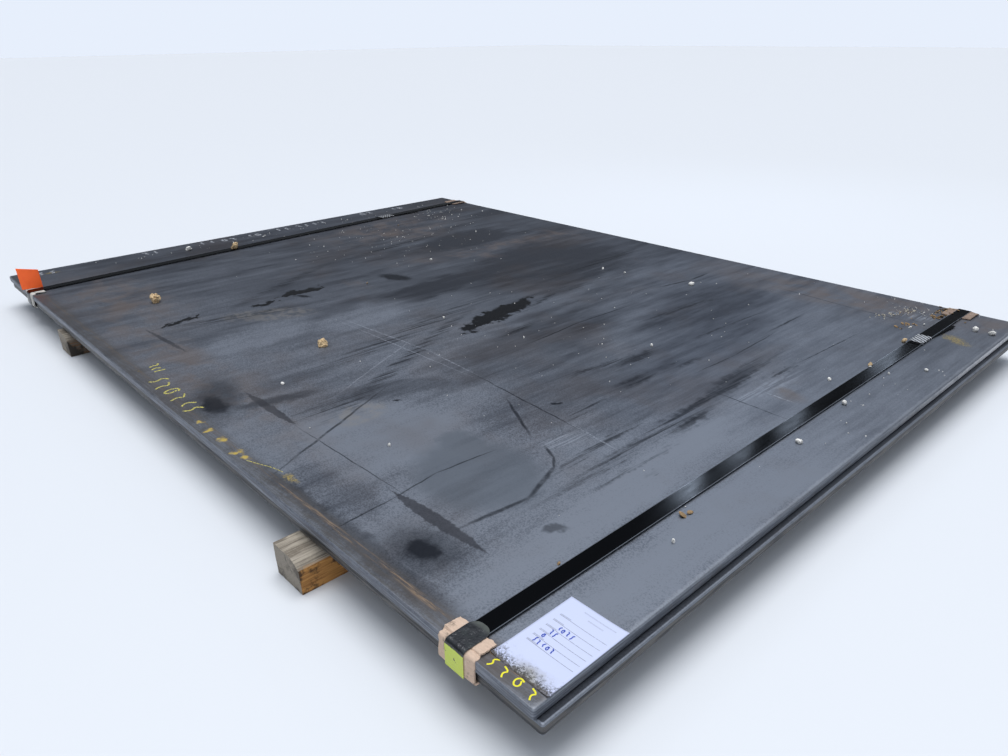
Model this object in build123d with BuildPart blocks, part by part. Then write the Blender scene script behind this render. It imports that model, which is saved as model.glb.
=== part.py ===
from build123d import *
import os
from math import cos, radians, sin, tan

# A banded pack of two hot-rolled steel plates on two sawn timber bearers.
# X runs along the plates towards the end with the paper tag, Y across them, Z up.
# The origin is the plan centre of the pack, level with the underside of the bearers.
# Left and right are as seen from beyond the tagged end, looking along the plates.

# Share of a wall or width that a rounding may take at most
round_limit = 0.45

# Plates, cut to 96 x 72 inches from 3/4 inch plate
plate_length = 2438.4
plate_width = 1828.8
plate_thickness = 19.05
edge_radius = 4.0
corner_radius = 5.0
end_slip = 11.0
side_slip = 4.0

# Bearers, sawn timber with the bark edge left on one top corner
bearer_width = 80.0
bearer_height = 62.0
bearer_overhang = 43.6
far_bearer_short_cut = 34.0
near_bearer_inset = 522.2
far_bearer_inset = 579.2
wane_run = 40.0
wane_drop = 22.0
arris_radius = 1.5

# Fibreboard edge protectors, folded round both plates under the straps
board_thickness = 3.2
board_width = 73.0
board_inner_bend = 4.2
left_board_reach = 38.0
right_board_reach = 74.0
under_board_reach = 26.0
wrap_gap = 0.25

# Steel straps, each wrapped once round the pack with its two ends lapped in a seal
strap_width = 31.75
strap_thickness = 0.8
near_strap_inset = 145.2
far_strap_inset = 189.2
far_strap_skew = 3.4
lap_gap = 0.15
lap_climb = 55.0
lap_end_reach = 42.0
tail_start = 5.0
tail_length = 130.0
tail_swing = 5.5

# Crimped seals round the lapped ends
seal_length = 60.0
seal_thickness = 1.0
near_seal_inset = 316.4
far_seal_inset = 444.4
seal_lip_gap = 7.0
seal_fold_radius = 0.9
crimp_count = 3
crimp_pitch = 17.0
crimp_depth = 3.2
crimp_half_width = 3.0

# Label stuck over the near strap where it bends down the left side
label_width = 37.0
label_thickness = 0.4
label_reach = 50.0
label_end_radius = 16.0

# Paper tag laid flat in the near left corner
paper_length = 152.4
paper_width = 101.6
paper_thickness = 0.4
paper_end_margin = 0.3
paper_side_margin = 25.0

# Orange card standing behind the far strap, its foot stuck to the left protector
card_width = 58.0
card_height = 68.0
card_thickness = 0.8
card_foot = 10.0
card_inner_bend = 1.2
card_turn = 11.0
card_side_overhang = 12.0
card_strap_clearance = 1.5

# Places that follow from the sizes above
pack_bottom = bearer_height
pack_top = pack_bottom + 2 * plate_thickness
stack_side = (plate_width + side_slip) / 2
bearer_end = stack_side + bearer_overhang
board_face = wrap_gap + board_thickness
layer_step = strap_thickness + lap_gap
strap_side = stack_side + board_face + wrap_gap + strap_thickness / 2
strap_top = pack_top + board_face + wrap_gap + strap_thickness / 2
strap_bottom = pack_bottom - board_face - wrap_gap - strap_thickness / 2
strap_bend = board_inner_bend + board_thickness + wrap_gap + strap_thickness / 2
far_strap_slope = -tan(radians(far_strap_skew))
near_strap_x = plate_length / 2 - near_strap_inset
far_strap_x = far_strap_inset - plate_length / 2
near_bearer_x = plate_length / 2 - near_bearer_inset
far_bearer_x = far_bearer_inset - plate_length / 2
near_seal_y = plate_width / 2 - near_seal_inset
far_seal_y = plate_width / 2 - far_seal_inset


def across_plane(x, slope=0.0):
    """Upright plane across the pack: its own x runs to the right, its own y runs up."""
    return Plane((x, 0, 0), x_dir=(slope, 1, 0), z_dir=(1, -slope, 0))


def make_plate(slip_sign, base_z):
    """One plate, sheared to size, with the rounded edges of rolled stock."""
    centre = (slip_sign * end_slip / 2, slip_sign * side_slip / 2, base_z)
    with BuildPart() as plate:
        with BuildSketch(Plane(centre)):
            RectangleRounded(plate_length, plate_width, corner_radius)
        extrude(amount=plate_thickness)
        levels = plate.edges().group_by(Axis.Z)
        fillet(levels[0] + levels[-1], radius=min(edge_radius, round_limit * plate_thickness))
    return plate


def make_bearer(x, short_cut):
    """One bearer: a sawn section with a round bark edge along its near top corner."""
    half_width = bearer_width / 2
    end_plane = Plane((x, bearer_end, 0), x_dir=(1, 0, 0), z_dir=(0, -1, 0))
    with BuildPart() as bearer:
        with BuildSketch(end_plane):
            with BuildLine():
                wane_centre = (half_width - wane_run, bearer_height - wane_drop)
                wane = EllipticalCenterArc(wane_centre, wane_run, wane_drop, start_angle=0, arc_size=90)
                Polyline(wane @ 0, (half_width, 0), (-half_width, 0), (-half_width, bearer_height), wane @ 1)
            make_face()
        extrude(amount=2 * bearer_end - short_cut)
        lengthwise = bearer.edges().filter_by(Axis.Y)
        sawn = lengthwise.group_by(Axis.Z)[0] + lengthwise.group_by(Axis.X)[0].group_by(Axis.Z)[-1]
        fillet(sawn, radius=arris_radius)
    return bearer


def make_protector(x, slope, side, reach):
    """One strip of board folded over the top, down the side and under; side is -1 left, 1 right."""
    middle = board_thickness / 2
    fold_side = stack_side + wrap_gap + middle
    fold_top = pack_top + wrap_gap + middle
    fold_bottom = pack_bottom - wrap_gap - middle
    with BuildPart() as protector:
        with BuildSketch(across_plane(x + side * stack_side * slope)):
            with BuildLine():
                fold = FilletPolyline(
                    (side * (stack_side - reach), fold_top),
                    (side * fold_side, fold_top),
                    (side * fold_side, fold_bottom),
                    (side * (stack_side - under_board_reach), fold_bottom),
                    radius=board_inner_bend + middle,
                )
            trace(fold, board_thickness)
        extrude(amount=board_width / 2, both=True)
    return protector


def joint_plane(x, slope, y, height):
    """Level plane on the strap's centre line: its own x runs across the strap."""
    return Plane((x + slope * y, y, height), x_dir=(1, -slope, 0), z_dir=(0, 0, 1))


def crimp_bites(x, slope, y):
    """The bites that the crimping jaws take out of both edges of the seal and the strap."""
    edge = strap_width / 2 + lap_gap + seal_thickness
    with BuildPart() as bites:
        with BuildSketch(joint_plane(x, slope, y, pack_top + wrap_gap)):
            with GridLocations(2 * edge, crimp_pitch, 2, crimp_count):
                Ellipse(crimp_depth, crimp_half_width)
        extrude(amount=strap_top - pack_top + 2 * layer_step + seal_thickness)
    return bites.part


def make_strap(x, slope, seal_y):
    """One strap: the loop round the pack, the end on top of the joint, and the tail under it."""
    stretch = (1 + slope**2) ** 0.5
    lower_end = seal_length / 2 + tail_start
    flat_finish = stack_side - right_board_reach
    path = [
        (seal_y + lower_end, strap_top),
        (-strap_side, strap_top),
        (-strap_side, strap_bottom),
        (strap_side, strap_bottom),
        (strap_side, strap_top),
        (flat_finish, strap_top),
        (flat_finish - lap_climb, strap_top + layer_step),
        (seal_y - lap_end_reach, strap_top + layer_step),
    ]
    with BuildPart() as strap:
        with BuildSketch(across_plane(x, slope)):
            with BuildLine():
                wrap = FilletPolyline(
                    *[(stretch * along, height) for along, height in path],
                    radius=4 * [strap_bend] + 2 * [lap_climb],
                )
            trace(wrap, strap_thickness)
        extrude(amount=strap_width / 2, dir=(1, 0, 0), both=True)
        tail_plane = joint_plane(x, slope, seal_y + lower_end, strap_top - strap_thickness / 2)
        with BuildSketch(tail_plane):
            with Locations(Location((0, -tail_start / 2, 0), (0, 0, -tail_swing))):
                Rectangle(strap_width, tail_length, align=(Align.CENTER, Align.MIN))
        extrude(amount=strap_thickness)
        add(crimp_bites(x, slope, seal_y), mode=Mode.SUBTRACT)
    return strap


def make_seal(x, slope, seal_y):
    """One seal: a steel sleeve folded round the lapped ends, its lips turned under, then crimped."""
    inner_width = strap_width + 2 * lap_gap
    inner_height = strap_thickness + layer_step + 2 * lap_gap
    outer_width = inner_width + 2 * seal_thickness
    outer_height = inner_height + 2 * seal_thickness
    middle_z = strap_top + layer_step / 2
    centre = (x + slope * seal_y, seal_y, middle_z)
    with BuildPart() as seal:
        with BuildSketch(Plane(centre, x_dir=(1, -slope, 0), z_dir=(-slope, -1, 0))):
            RectangleRounded(outer_width, outer_height, min(seal_fold_radius, round_limit * outer_height))
            Rectangle(inner_width, inner_height, mode=Mode.SUBTRACT)
            with Locations((0, -(inner_height + seal_thickness) / 2)):
                Rectangle(seal_lip_gap, 2 * seal_thickness, mode=Mode.SUBTRACT)
        extrude(amount=seal_length / 2, both=True)
        add(crimp_bites(x, slope, seal_y), mode=Mode.SUBTRACT)
    return seal


def make_label(x):
    """The label: stuck along the top of the strap, over the bend and down the side."""
    lift = strap_thickness / 2 + lap_gap + label_thickness / 2
    with BuildPart() as label:
        with BuildSketch(across_plane(x)):
            with BuildLine():
                fold = FilletPolyline(
                    (-(stack_side - label_reach), strap_top + lift),
                    (-(strap_side + lift), strap_top + lift),
                    (-(strap_side + lift), pack_bottom),
                    radius=strap_bend + lift,
                )
            trace(fold, label_thickness)
        extrude(amount=label_width / 2, both=True)
        end_corners = label.edges().filter_by(Axis.Z).group_by(Axis.Y)[-1]
        fillet(end_corners, radius=min(label_end_radius, round_limit * label_width))
    return label


def make_paper_tag():
    """The paper tag, flat on the upper plate."""
    end_x = (plate_length - end_slip) / 2 - paper_end_margin
    side_y = -(plate_width + side_slip) / 2 + paper_side_margin
    with BuildPart() as paper:
        with BuildSketch(Plane((end_x, side_y, pack_top))):
            Rectangle(paper_width, paper_length, align=(Align.MAX, Align.MIN))
        extrude(amount=paper_thickness)
    return paper


def make_card(x, slope):
    """The orange card: a bent foot on the protector and a leaf standing up from it."""
    turn_x, turn_y = cos(radians(card_turn)), sin(radians(card_turn))
    corner_y = -(stack_side + card_side_overhang)
    inner_end_y = corner_y + card_width * turn_x
    strap_edge_x = x + slope * inner_end_y - strap_width / 2
    corner_x = strap_edge_x - card_strap_clearance - card_width * turn_y
    foot_z = pack_top + board_face + wrap_gap + card_thickness / 2
    corner = (corner_x, corner_y, foot_z)
    with BuildPart() as card:
        with BuildSketch(Plane(corner, x_dir=(turn_x, -turn_y, 0), z_dir=(-turn_y, -turn_x, 0))):
            with BuildLine():
                fold = FilletPolyline(
                    (-card_foot, 0), (0, 0), (0, card_height), radius=card_inner_bend + card_thickness / 2
                )
            trace(fold, card_thickness)
        extrude(amount=-card_width)
    return card


upper_plate = make_plate(-1, pack_bottom + plate_thickness)
lower_plate = make_plate(1, pack_bottom)
near_bearer = make_bearer(near_bearer_x, 0)
far_bearer = make_bearer(far_bearer_x, far_bearer_short_cut)

pieces = {
    "upper_plate": upper_plate,
    "lower_plate": lower_plate,
    "near_bearer": near_bearer,
    "far_bearer": far_bearer,
    "near_left_protector": make_protector(near_strap_x, 0, -1, left_board_reach),
    "near_right_protector": make_protector(near_strap_x, 0, 1, right_board_reach),
    "far_left_protector": make_protector(far_strap_x, far_strap_slope, -1, left_board_reach),
    "far_right_protector": make_protector(far_strap_x, far_strap_slope, 1, right_board_reach),
    "near_strap": make_strap(near_strap_x, 0, near_seal_y),
    "far_strap": make_strap(far_strap_x, far_strap_slope, far_seal_y),
    "near_seal": make_seal(near_strap_x, 0, near_seal_y),
    "far_seal": make_seal(far_strap_x, far_strap_slope, far_seal_y),
    "strap_label": make_label(near_strap_x),
    "paper_tag": make_paper_tag(),
    "orange_card": make_card(far_strap_x, far_strap_slope),
}

os.makedirs("parts", exist_ok=True)
for name, piece in pieces.items():
    piece.part.label = name
    export_step(piece.part, f"parts/{name}.step")
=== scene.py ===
"""Looks for a banded pack of two hot-rolled steel plates on timber bearers.

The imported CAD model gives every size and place. This file adds the finishes, the folded boards, the tags,
the paint marks and the dirt, and sets the stage. It is laid out as an add-on: one operator for each piece
or group of pieces, listed in a sidebar panel, and main() calls them in order.
"""
from math import atan2, cos, hypot, pi, radians, sin
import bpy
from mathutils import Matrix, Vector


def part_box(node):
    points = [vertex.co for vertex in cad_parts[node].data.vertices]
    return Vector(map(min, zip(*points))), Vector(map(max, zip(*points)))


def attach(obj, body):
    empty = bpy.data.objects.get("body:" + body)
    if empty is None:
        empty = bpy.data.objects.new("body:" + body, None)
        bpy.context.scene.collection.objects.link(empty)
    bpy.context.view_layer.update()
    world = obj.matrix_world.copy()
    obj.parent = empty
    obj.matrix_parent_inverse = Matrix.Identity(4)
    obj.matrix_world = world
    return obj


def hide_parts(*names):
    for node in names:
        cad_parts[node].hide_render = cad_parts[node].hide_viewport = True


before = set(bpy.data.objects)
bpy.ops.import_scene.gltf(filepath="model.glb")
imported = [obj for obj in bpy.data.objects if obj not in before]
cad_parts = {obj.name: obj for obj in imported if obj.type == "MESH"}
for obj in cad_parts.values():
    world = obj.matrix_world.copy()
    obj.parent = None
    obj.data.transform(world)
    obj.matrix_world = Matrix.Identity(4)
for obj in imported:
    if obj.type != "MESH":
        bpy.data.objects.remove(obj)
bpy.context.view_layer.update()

from types import SimpleNamespace

import bmesh
import bpy
import numpy as np
from bpy.props import FloatProperty, FloatVectorProperty, IntProperty, PointerProperty
from mathutils import Euler, Vector, noise

bl_info = {"name": "Plate pack finish", "version": (1, 0, 0), "blender": (4, 5, 0),
           "location": "3D View > Sidebar > Plate pack",
           "description": "Finishes a banded pack of plates: scale, straps, boards, tags, marks and dirt",
           "category": "Object"}

MM = 0.001
BODY = "root"


def linear(hex_colour):
    """sRGB hex, such as "8a8d92", to the linear RGBA that shaders take."""
    channels = [int(hex_colour[i:i + 2], 16) / 255 for i in (0, 2, 4)]
    return (*[c / 12.92 if c <= 0.04045 else ((c + 0.055) / 1.055) ** 2.4 for c in channels], 1.0)


def colour(name, description, hex_colour):
    """A colour setting of the add-on."""
    return FloatVectorProperty(name=name, description=description, subtype="COLOR", size=4, min=0.0,
                               max=1.0, default=linear(hex_colour))


def length(name, description, value_mm):
    """A length setting of the add-on, given in millimetres and kept in metres."""
    return FloatProperty(name=name, description=description, unit="LENGTH", default=value_mm * MM)


# The nodes that come up most, by a short name, with the settings that each starts from
NODES = {
    "blend": ("ShaderNodeMix", {"data_type": "RGBA"}),
    "ramp": ("ShaderNodeMapRange", {"interpolation_type": "SMOOTHSTEP"}),
    "rescale": ("ShaderNodeMapRange", {}),
    "noise": ("ShaderNodeTexNoise", {}),
    **{sign: ("ShaderNodeMath", {"operation": sign.upper()})
       for sign in ("add", "subtract", "multiply", "maximum", "absolute", "power")},
}


WAVE = 0.31  # a wave texture's Scale for bands about one unit apart


def feed(node, inputs):
    """Fills a node's inputs by name or place: an output is linked, anything else is the socket's value."""
    for key, value in inputs.items():
        if isinstance(value, bpy.types.NodeSocket):
            node.id_data.links.new(value, node.inputs[key])
        else:
            node.inputs[key].default_value = value


def put(tree, kind, *inputs, output=0, **settings):
    """Adds one node with its settings, and gives one output of it, or the node itself if output is None.

    The inputs are either one dict by name, or values in the order in which the node shows its sockets. A ramp
    takes a value from one range to another, 0 to 1 unless it says so; noise takes a point in millimetres and
    one over the size of its grains, then its detail and roughness.
    """
    idname, start = NODES.get(kind, (kind, {}))
    node = tree.nodes.new(idname)
    for name, value in {**start, **settings}.items():
        setattr(node, name, value)
    if inputs and isinstance(inputs[0], dict):
        feed(node, inputs[0])
    else:
        places = [place for place, socket in enumerate(node.inputs) if socket.enabled]
        feed(node, dict(zip(places, inputs)))
    if output is None:
        return node
    shown = [socket for socket in node.outputs if socket.enabled]
    return node.outputs[output] if isinstance(output, str) else shown[output]


def new_material(name):
    """An empty node material, its shader, and the object's own coordinates in millimetres."""
    material = bpy.data.materials.new(name)
    material.use_nodes = True
    tree = material.node_tree
    tree.nodes.clear()
    shader = put(tree, "ShaderNodeBsdfPrincipled", output=None)
    put(tree, "ShaderNodeOutputMaterial", {"Surface": shader.outputs[0]}, output=None)
    own = put(tree, "ShaderNodeTexCoord", output="Object")
    point = put(tree, "ShaderNodeVectorMath", {0: own, "Scale": 1.0 / MM}, operation="SCALE")
    return material, tree, shader, point


def dress(node_name, material):
    """Gives a CAD node its material; its shape stays as it is."""
    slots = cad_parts[node_name].data.materials
    slots.clear()
    slots.append(material)


def finished(obj, replaced=(), smooth=True):
    """Books a finished piece: it rides on the pack and takes the place of the CAD nodes named."""
    if smooth:
        obj.data.polygons.foreach_set("use_smooth", [True] * len(obj.data.polygons))
    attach(obj, BODY)
    if replaced:
        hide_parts(*replaced)
    return obj


def mesh_object(name, vertices, faces, material):
    """A mesh object from plain lists, in metres, with its faces turned outwards."""
    mesh = bpy.data.meshes.new(name)
    mesh.from_pydata([tuple(v) for v in vertices], [], faces)
    work = bmesh.new()
    work.from_mesh(mesh)
    bmesh.ops.remove_doubles(work, verts=work.verts, dist=1e-7)
    bmesh.ops.recalc_face_normals(work, faces=work.faces)
    work.to_mesh(mesh)
    work.free()
    obj = bpy.data.objects.new(name, mesh)
    bpy.context.scene.collection.objects.link(obj)
    mesh.materials.append(material)
    return obj


def plain_mesh(obj, name):
    """Turns an object with modifiers into a plain mesh object of the same place."""
    bpy.context.view_layer.update()
    graph = bpy.context.evaluated_depsgraph_get()
    mesh = bpy.data.meshes.new_from_object(obj.evaluated_get(graph), depsgraph=graph)
    bpy.data.objects.remove(obj)
    done = bpy.data.objects.new(name, mesh)
    bpy.context.scene.collection.objects.link(done)
    return done


def socket_named(tree, name):
    """The identifier by which a modifier's input is set."""
    return next(item.identifier for item in tree.interface.items_tree if item.name == name)


def with_nodes(obj, tree, values, name):
    """Runs a Geometry Nodes tree on an object and returns the plain mesh that it makes."""
    modifier = obj.modifiers.new("Make", "NODES")
    modifier.node_group = tree
    for label, value in values.items():
        modifier[socket_named(tree, label)] = value
    return plain_mesh(obj, name)


def geometry_tree(name, inputs):
    """A Geometry Nodes tree with named inputs: (name, socket kind, default)."""
    tree = bpy.data.node_groups.new(name, "GeometryNodeTree")
    tree.interface.new_socket("Geometry", in_out="INPUT", socket_type="NodeSocketGeometry")
    for label, kind, default in inputs:
        item = tree.interface.new_socket(label, in_out="INPUT", socket_type=kind)
        item.default_value = default
    tree.interface.new_socket("Geometry", in_out="OUTPUT", socket_type="NodeSocketGeometry")
    return tree, put(tree, "NodeGroupInput", output=None).outputs


def close_tree(tree, geometry, material):
    """Ends a tree as the export needs it: real geometry with its material."""
    real = put(tree, "GeometryNodeRealizeInstances", geometry)
    painted = put(tree, "GeometryNodeSetMaterial", {0: real, "Material": material})
    put(tree, "NodeGroupOutput", painted, output=None)


class PlateFinish(bpy.types.PropertyGroup):
    """Hot-rolled plate"""
    scale: colour("Mill scale", "Blue-grey oxide skin left by hot rolling", "7f858f")
    dark_scale: colour("Dark scale", "Thicker scale and rolling streaks", "40444d")
    film: colour("Pale film", "Dust and dried water on the scale", "a4aab4")
    stain: colour("Stain", "Oil and water stains", "1a1d24")
    rust: colour("Rust", "Brown rust bloom", "5a4a3e")
    # The worn-edge colour also paints the highlight along the tagged end
    bright: colour("Worn edge", "Edges rubbed to brighter metal", "a9adb4")


class StrapFinish(bpy.types.PropertyGroup):
    """Painted and waxed strapping and its seals"""
    paint: colour("Strap paint", "Black paint under wax", "040507")
    zinc: colour("Seal zinc", "Dull zinc plating", "c9cacc")


class TimberFinish(bpy.types.PropertyGroup):
    """Rough-sawn softwood"""
    grey: colour("Weathered wood", "Silver-grey sawn face", "a39a8c")
    pale: colour("Fresh wood", "Paler end grain and wane", "c2b7a4")
    brown: colour("Resin side", "Brown face where bark and resin stained it", "7d5128")
    ring_pitch: length("Ring pitch", "Spacing of the growth rings", 4.5)


class BoardFinish(bpy.types.PropertyGroup):
    """Folded fibreboard"""
    tan: colour("Fibreboard", "Plain tan board", "d0b6a1")
    pale: colour("Bleached board", "Board that has weathered nearly white", "c4c1ba")
    thickness: length("Thickness", "Thickness of the board", 3.2)


class TagFinish(bpy.types.PropertyGroup):
    """Paper, card and film"""
    paper: colour("Paper", "Cool white tag paper", "c4cbe5")
    ink: colour("Rule", "Printed rules of the form", "70747f")
    pen: colour("Pen", "Blue ball pen", "3550b8")
    card: colour("Card", "Orange card", "ff6a2c")
    film: colour("Label film", "Smoke-grey film", "17191d")
    lime: colour("Label lime", "Lime-green end of the label", "c3d23c")


class MarkFinish(bpy.types.PropertyGroup):
    """Paint marker and chalk"""
    yellow: colour("Yellow marker", "Yellow paint marker", "ece32f")
    chalk: colour("Chalk", "Rubbed chalk", "9ea1a6")
    width: length("Marker width", "Width of a marker line", 5.5)


class DirtFinish(bpy.types.PropertyGroup):
    """Gravel and leaf crumbs on the plates"""
    stone: colour("Stone", "Tan gravel", "dcbf94")
    white_stone: colour("White stone", "Pale limestone chips", "f1efe9")
    leaf: colour("Leaf crumb", "Dry leaf crumbs", "9a7f5c")
    straw: colour("Straw", "Bleached straw and twigs", "b9b2a2")
    seed: IntProperty(name="Seed", description="Seed of the scatter", default=7)


class StageSetup(bpy.types.PropertyGroup):
    """Camera, floor and light"""
    heading: FloatProperty(name="Heading", description="Turn about Z", subtype="ANGLE",
                           default=radians(47.157))
    tilt: FloatProperty(name="Tilt", description="Tilt up from straight down", subtype="ANGLE",
                        default=radians(65.596))
    roll: FloatProperty(name="Roll", description="Turn about the line of sight", subtype="ANGLE",
                        default=radians(-0.598))
    place: FloatVectorProperty(name="Place", description="Camera position", subtype="TRANSLATION", size=3,
                               default=(1.6641, -1.3754, 0.8149))
    lens: FloatProperty(name="Lens", description="Focal length on a 36 mm wide sensor, in mm",
                        default=27.18)
    floor: colour("Floor", "Pale studio floor", "d9dce0")


class PlatePackSettings(bpy.types.PropertyGroup):
    """All settings of the pack"""
    plate: PointerProperty(type=PlateFinish)
    strap: PointerProperty(type=StrapFinish)
    timber: PointerProperty(type=TimberFinish)
    board: PointerProperty(type=BoardFinish)
    tag: PointerProperty(type=TagFinish)
    mark: PointerProperty(type=MarkFinish)
    dirt: PointerProperty(type=DirtFinish)
    stage: PointerProperty(type=StageSetup)


def settings():
    """The add-on's settings on the open scene."""
    return bpy.context.scene.plate_pack


def mm_box(node_name):
    """Lowest and highest corner of a CAD node, in millimetres."""
    low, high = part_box(node_name)
    return Vector(low) / MM, Vector(high) / MM


def mask_group(name, pointed):
    """Shader group: 1 inside a soft ellipse, or inside a lens with pointed ends, and 0 outside it."""
    tree = bpy.data.node_groups.new(name, "ShaderNodeTree")
    for label, kind in (("Point", "Vector"), ("Centre", "Vector"), ("Turn", "Float"), ("Size", "Vector"),
                        ("Inner", "Float"), ("Outer", "Float")):
        tree.interface.new_socket(label, in_out="INPUT", socket_type="NodeSocket" + kind)
    tree.interface.new_socket("Mask", in_out="OUTPUT", socket_type="NodeSocketFloat")
    given = put(tree, "NodeGroupInput", output=None).outputs
    turned = put(tree, "ShaderNodeVectorRotate", {"Vector": given["Point"], "Center": given["Centre"],
                                                  "Angle": given["Turn"]}, rotation_type="Z_AXIS",
                 invert=True)
    away = put(tree, "ShaderNodeVectorMath", turned, given["Centre"], operation="SUBTRACT")
    unit = put(tree, "ShaderNodeVectorMath", away, given["Size"], operation="DIVIDE")
    if pointed:
        parts = put(tree, "ShaderNodeSeparateXYZ", unit, output=None).outputs
        squared = put(tree, "power", put(tree, "absolute", parts["X"]), 2.0)
        reach = put(tree, "add", squared, put(tree, "absolute", parts["Y"]))
    else:
        reach = put(tree, "ShaderNodeVectorMath", unit, operation="LENGTH", output="Value")
    put(tree, "NodeGroupOutput", put(tree, "ramp", reach, given["Inner"], given["Outer"], 1.0, 0.0),
        output=None)
    return tree


def blots(tree, group, point, rows, soft):
    """The strongest of several masks: (x, y, half length, half width, turn in degrees) in millimetres."""
    total = None
    for x, y, half_length, half_width, turn in rows:
        inputs = {"Point": point, "Centre": (x, y, 0.0), "Turn": radians(turn),
                  "Size": (half_length, half_width, 1e6), "Inner": 1.0 - soft, "Outer": 1.0 + soft}
        mask = put(tree, "ShaderNodeGroup", inputs, node_tree=group)
        total = mask if total is None else put(tree, "maximum", total, mask)
    return total


def along(half_width, *points):
    """Mask rows that follow a line through the points."""
    rows = []
    for (x0, y0), (x1, y1) in zip(points, points[1:]):
        run = hypot(x1 - x0, y1 - y0) / 2
        turn = atan2(y1 - y0, x1 - x0) * 180 / pi
        rows.append(((x0 + x1) / 2, (y0 + y1) / 2, run + half_width, half_width, turn))
    return rows


# What lies on the upper plate, where the photograph shows it. Each row is an oval or a lens: x, y, half
# length, half width and turn, in millimetres from the plan centre and in degrees.

# Pointed stains along the left edge
LENS_STAINS = [(276, -762, 108, 10, 1), (836, -761, 124, 13, 1), (-269, -769, 118, 6, 4)]

# The dark pool in the middle and the broken ones beyond it
SPILLS = [(180, -14, 170, 40, 104), (150, 70, 96, 12, 97), (-388, -312, 84, 20, 93),
          (-377, -679, 54, 15, 100), (-362, -462, 48, 12, 102)]

# Oil spots, and the damp shade round stains and spots
OVAL_STAINS = [(176, -838, 46, 22, -10), (886, -824, 30, 24, 20), (-312, -17, 56, 26, 20),
               (682, -311, 10, 5, 65), (432, -545, 10, 4, 60), (-345, -330, 26, 10, 24)]
HALOS = [(150, -822, 104, 50, -24), (884, -822, 70, 54, 20), (250, -740, 90, 20, 75),
         (985, -640, 18, 9, 60), (878, 55, 120, 19, 97), (927, -180, 56, 10, 91), (645, 0, 60, 11, 93),
         (840, -884, 190, 24, 0), (640, -886, 150, 16, 0)]

# Wide soft areas where the scale is darker, and where it is paler
DARK_FILMS = [(390, -500, 120, 44, 66), (640, -830, 110, 46, 0), (640, -250, 260, 110, 100),
              (-60, 420, 330, 220, 95), (560, 430, 300, 130, 95), (-140, 20, 220, 70, 96),
              (700, 130, 400, 130, 97), (420, -110, 300, 130, 100), (800, -60, 260, 110, 92),
              (-519, 455, 200, 90, 95)]
PALE_FILMS = [(560, -640, 120, 150, 100), (1000, -480, 46, 330, 3), (480, -620, 90, 90, 0),
              (1155, -480, 50, 440, 0), (455, -690, 90, 80, 0), (-135, -576, 150, 70, 95),
              (-73, -292, 150, 70, 95)]

# A smooth patch without grain, painted a darker even grey as painted sheen
SHEEN_PATCH = [(775, -618, 126, 110, 0), (684, -570, 66, 44, 0)]

# Dark brushed smears, nearly all along the rolling direction
SMEARS = [(915, -330, 215, 12, 91), (893, -130, 362, 11, 93), (876, 70, 130, 24, 99), (927, -180, 64, 14, 91),
          (957, -396, 88, 5, 89), (992, -398, 18, 5, 90), (740, -290, 60, 12, 97), (728, -98, 62, 14, 89),
          (740, 43, 60, 8, 80), (650, -14, 74, 16, 94), (618, -100, 130, 9, 82), (512, 378, 142, 9, 86),
          (186, 147, 92, 10, 108), (165, 306, 72, 15, 84), (672, 289, 66, 5, 86), (928, 182, 75, 7, 88),
          (309, -58, 65, 10, 98), (257, -386, 350, 17, 116), (345, -660, 56, 12, 83),
          (110, -262, 295, 26, 101), (364, -677, 64, 17, 86), (373, -641, 40, 22, 10),
          (-520, -267, 220, 15, 116), (861, -376, 132, 9, 94), (-660, 330, 330, 20, 100),
          (30, 620, 240, 22, 96), (-318, -540, 200, 11, 76)]

# Scratches and run marks, drawn through a few points each: dark ones, and ones with dust in them
DARK_LINES = [*along(3.6, (602, -379), (734, -448)), *along(3.0, (790, -462), (832, -480), (859, -508)),
              *along(5.0, (856, -504), (896, -609)), *along(4.4, (896, -609), (882, -732)),
              *along(1.7, (744, -894), (738, -773), (724, -672), (735, -554)),
              *along(3.0, (522, -877), (375, -556)), *along(1.3, (407, -762), (726, -754)),
              *along(4.5, (350, 500), (373, 625), (370, 722)), *along(1.8, (449, -339), (820, -368)),
              *along(2.2, (669, 223), (677, 356), (686, 513)),
              *along(1.8, (796, 46), (801, 187), (792, 378)), *along(3.0, (777, 405), (776, 557)),
              *along(1.8, (931, 258), (943, 522)), *along(1.6, (883, -27), (1049, -32)),
              *along(2.4, (398, -93), (385, 93), (393, 289)),
              *along(1.8, (612, 748), (868, 721), (985, 722)), *along(2.0, (-349, -728), (-254, -380))]
PALE_LINES = [*along(2.2, (-72, -352), (264, -325), (449, -337)), *along(1.6, (-60, -368), (430, -352)),
              *along(2.2, (311, -607), (171, -314)), *along(1.8, (764, -362), (893, -374)),
              *along(2.0, (964, 49), (1029, 46))]

# Grey rubbed spots, pale scuffs and brown rust blooms
RUBBED = [(-268, -481, 122, 50, 58), (430, -640, 60, 40, 100)]
SCUFFS = [(950, 80, 115, 16, 85), (985, 770, 62, 18, 12), (800, -420, 46, 22, 80)]
RUST_BLOOMS = [(-331, 785, 88, 28, 8), (-353, 366, 92, 30, 8), (-366, 478, 330, 44, 84),
               (-325, -150, 62, 26, 10), (-720, -740, 330, 120, 4), (-100, -800, 560, 70, 2),
               (985, 75, 40, 24, 0), (1140, -896, 90, 20, 0), (1165, 840, 50, 90, 0),
               (820, 800, 330, 100, 0), (-860, 350, 160, 260, 0)]

# Spots of yellow paint beside the marks, and paint dust
YELLOW_DABS = [(236, -893, 9, 6, 20), (284, -895, 10, 7, 60), (334, -894, 11, 8, 0), (404, -895, 12, 9, 30),
               (431, -893, 12, 8, 0), (-126, -893, 9, 3, 10)]
YELLOW_DUST = [(1137, 666, 36, 14, 145), (560, -868, 18, 6, 8), (-1166, -804, 16, 9, 80)]

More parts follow.
